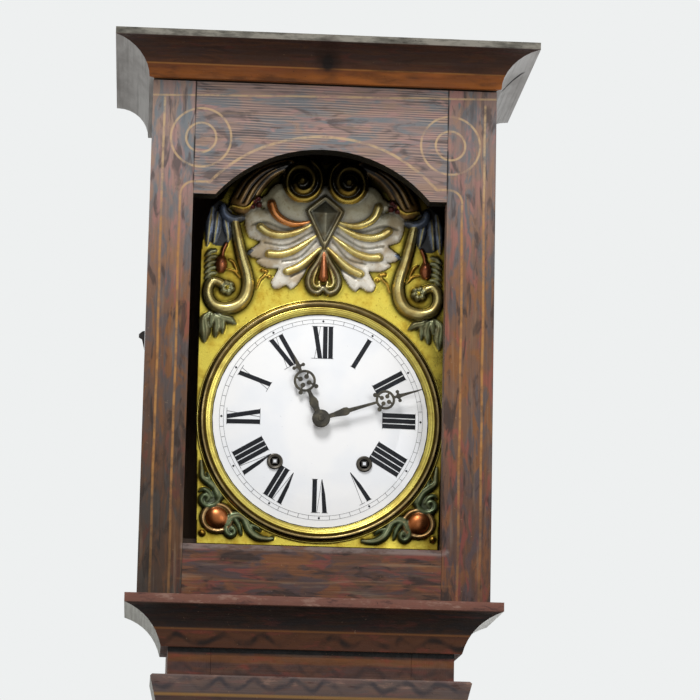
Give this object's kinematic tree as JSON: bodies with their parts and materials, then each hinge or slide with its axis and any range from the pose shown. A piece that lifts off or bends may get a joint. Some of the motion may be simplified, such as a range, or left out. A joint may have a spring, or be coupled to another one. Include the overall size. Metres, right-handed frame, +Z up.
{
  "type": "longcase clock",
  "caption": "Tall painted wooden longcase clock: arched hood door, enamel dial in an embossed brass frontal, iron cage movement with pendulum, weights, bell and hinged trunk door.",
  "frame": {"origin": "centre of the bounding box on the floor", "axes": "+Z up, the dial faces -Y, +X to the viewer's right"},
  "size_m": [0.438, 0.2986, 2.343],
  "materials": {
    "painted_wood": "worn brown paint imitating grain",
    "bare_wood": "old bare softwood",
    "iron": "dark forged and cast iron",
    "steel": "grey steel",
    "brass": "gilt and stamped brass",
    "bronze": "dark pierced bronze",
    "enamel": "white fired enamel on copper",
    "rope": "hemp line"
  },
  "bodies": {
    "case": {"plinth_skirting": "painted_wood", "base_front": "painted_wood", "base_side_left": "bare_wood", "base_side_right": "bare_wood", "base_top_board": "painted_wood", "base_top_moulding": "painted_wood", "backboard": "bare_wood", "trunk_side_left": "bare_wood", "trunk_side_right": "bare_wood", "trunk_stile_left": "painted_wood", "trunk_stile_right": "painted_wood", "trunk_rail_bottom": "painted_wood", "trunk_rail_top": "painted_wood", "trunk_top_moulding": "painted_wood", "lower_cornice": "painted_wood", "hood_side_left": "bare_wood", "hood_side_right": "bare_wood", "hood_top_board": "bare_wood", "seat_board": "bare_wood", "crown_front": "painted_wood", "crown_return_left": "bare_wood", "crown_return_right": "bare_wood", "movement_cage": "iron", "dial_backplate": "iron", "brass_frontal": "brass", "dial_bezel": "brass", "enamel_dial": "enamel", "bell": "bronze", "going_rope": "rope", "strike_rope": "rope"},
    "hood_door": {"hood_door_stile_left": "painted_wood", "hood_door_stile_right": "painted_wood", "hood_door_top_rail": "painted_wood", "hood_door_bottom_rail": "painted_wood", "hood_door_pull": "iron"},
    "trunk_door": {"trunk_door": "painted_wood", "trunk_door_knob": "brass"},
    "minute_hand": {"minute_hand": "bronze", "cannon_pinion": "steel"},
    "hour_hand": {"hour_hand": "bronze", "hour_wheel": "brass"},
    "minute_wheel": {"minute_wheel": "brass"},
    "going_great_wheel": {"going_great_wheel": "brass"},
    "centre_wheel": {"centre_wheel": "brass"},
    "third_wheel": {"third_wheel": "brass"},
    "escape_wheel": {"escape_wheel": "brass"},
    "going_barrel": {"going_barrel": "steel"},
    "going_weight": {"going_weight": "iron"},
    "strike_great_wheel": {"strike_great_wheel": "brass"},
    "pin_wheel": {"pin_wheel": "brass"},
    "warning_wheel": {"warning_wheel": "brass"},
    "fly": {"fly": "steel"},
    "strike_barrel": {"strike_barrel": "steel"},
    "strike_weight": {"strike_weight": "iron"},
    "anchor": {"anchor": "steel"},
    "pendulum": {"pendulum_rod": "steel", "pendulum_bob": "brass"},
    "hammer": {"hammer": "steel"}
  },
  "joints": [
    {"name": "hood_door_swing", "type": "hinge", "parent": "case", "child": "hood_door", "pos_m": [0.168, -0.0915, 2.034], "axis": [0, 0, 1], "range_deg": [0, 90]},
    {"name": "trunk_door_swing", "type": "hinge", "parent": "case", "child": "trunk_door", "pos_m": [0.092, -0.0665, 1.1], "axis": [0, 0, 1], "range_deg": [0, 90]},
    {"name": "minute_hand_turn", "type": "hinge", "parent": "case", "child": "minute_hand", "pos_m": [0.0061, 0, 1.96], "axis": [0, 1, 0], "continuous": true},
    {"name": "hour_hand_turn", "type": "hinge", "parent": "case", "child": "hour_hand", "pos_m": [0.0061, 0, 1.96], "axis": [0, 1, 0], "continuous": true},
    {"name": "minute_wheel_turn", "type": "hinge", "parent": "case", "child": "minute_wheel", "pos_m": [0.0061, 0, 1.936], "axis": [0, 1, 0], "continuous": true},
    {"name": "third_wheel_turn", "type": "hinge", "parent": "case", "child": "third_wheel", "pos_m": [0.0361, 0, 1.98765], "axis": [0, 1, 0], "continuous": true},
    {"name": "centre_wheel_turn", "type": "hinge", "parent": "case", "child": "centre_wheel", "pos_m": [0.0061, 0, 1.96], "axis": [0, 1, 0], "continuous": true},
    {"name": "going_great_wheel_turn", "type": "hinge", "parent": "case", "child": "going_great_wheel", "pos_m": [0.0526, 0, 1.915], "axis": [0, 1, 0], "continuous": true},
    {"name": "escape_wheel_turn", "type": "hinge", "parent": "case", "child": "escape_wheel", "pos_m": [0.0061, 0, 2.01065], "axis": [0, 1, 0], "continuous": true},
    {"name": "warning_wheel_turn", "type": "hinge", "parent": "case", "child": "warning_wheel", "pos_m": [-0.0404, 0, 2.02051], "axis": [0, 1, 0], "continuous": true},
    {"name": "pin_wheel_turn", "type": "hinge", "parent": "case", "child": "pin_wheel", "pos_m": [-0.0404, 0, 1.97971], "axis": [0, 1, 0], "continuous": true},
    {"name": "strike_great_wheel_turn", "type": "hinge", "parent": "case", "child": "strike_great_wheel", "pos_m": [-0.0404, 0, 1.915], "axis": [0, 1, 0], "continuous": true},
    {"name": "fly_turn", "type": "hinge", "parent": "case", "child": "fly", "pos_m": [-0.0404, 0, 2.04851], "axis": [0, 1, 0], "continuous": true},
    {"name": "going_weight_slide", "type": "slide", "parent": "case", "child": "going_weight", "axis": [0, 0, 1], "range_m": [0, 0.92], "deforming": ["going_rope"]},
    {"name": "going_barrel_turn", "type": "hinge", "parent": "case", "child": "going_barrel", "pos_m": [0.0526, 0, 1.915], "axis": [0, 1, 0], "range_deg": [0, 3013]},
    {"name": "strike_weight_slide", "type": "slide", "parent": "case", "child": "strike_weight", "axis": [0, 0, 1], "range_m": [0, 0.92], "deforming": ["strike_rope"]},
    {"name": "strike_barrel_turn", "type": "hinge", "parent": "case", "child": "strike_barrel", "pos_m": [-0.0404, 0, 1.915], "axis": [0, 1, 0], "range_deg": [-3013, 0]},
    {"name": "pendulum_swing", "type": "hinge", "parent": "case", "child": "pendulum", "pos_m": [0.0061, 0, 2.06065], "axis": [0, 1, 0], "range_deg": [-2.5, 2.5]},
    {"name": "anchor_swing", "type": "hinge", "parent": "case", "child": "anchor", "pos_m": [0.0061, 0, 2.04665], "axis": [0, 1, 0], "range_deg": [-2.8, 2.8]},
    {"name": "hammer_swing", "type": "hinge", "parent": "case", "child": "hammer", "pos_m": [-0.0559, 0, 2.093], "axis": [0, 1, 0], "range_deg": [-25, 0]}
  ],
  "couplings": [
    {"joint": "hour_hand_turn", "follows": "minute_hand_turn", "ratio": 0.083333},
    {"joint": "minute_wheel_turn", "follows": "minute_hand_turn", "ratio": -0.33333},
    {"joint": "centre_wheel_turn", "follows": "third_wheel_turn", "ratio": -0.13333},
    {"joint": "going_great_wheel_turn", "follows": "third_wheel_turn", "ratio": 0.014815},
    {"joint": "escape_wheel_turn", "follows": "third_wheel_turn", "ratio": -8},
    {"joint": "pin_wheel_turn", "follows": "warning_wheel_turn", "ratio": -0.13333},
    {"joint": "strike_great_wheel_turn", "follows": "warning_wheel_turn", "ratio": 0.014815},
    {"joint": "fly_turn", "follows": "warning_wheel_turn", "ratio": -6},
    {"joint": "going_barrel_turn", "follows": "going_weight_slide", "rad_per_m": 57.143},
    {"joint": "strike_barrel_turn", "follows": "strike_weight_slide", "rad_per_m": -57.143},
    {"joint": "anchor_swing", "follows": "pendulum_swing", "ratio": 1.1167}
  ]
}
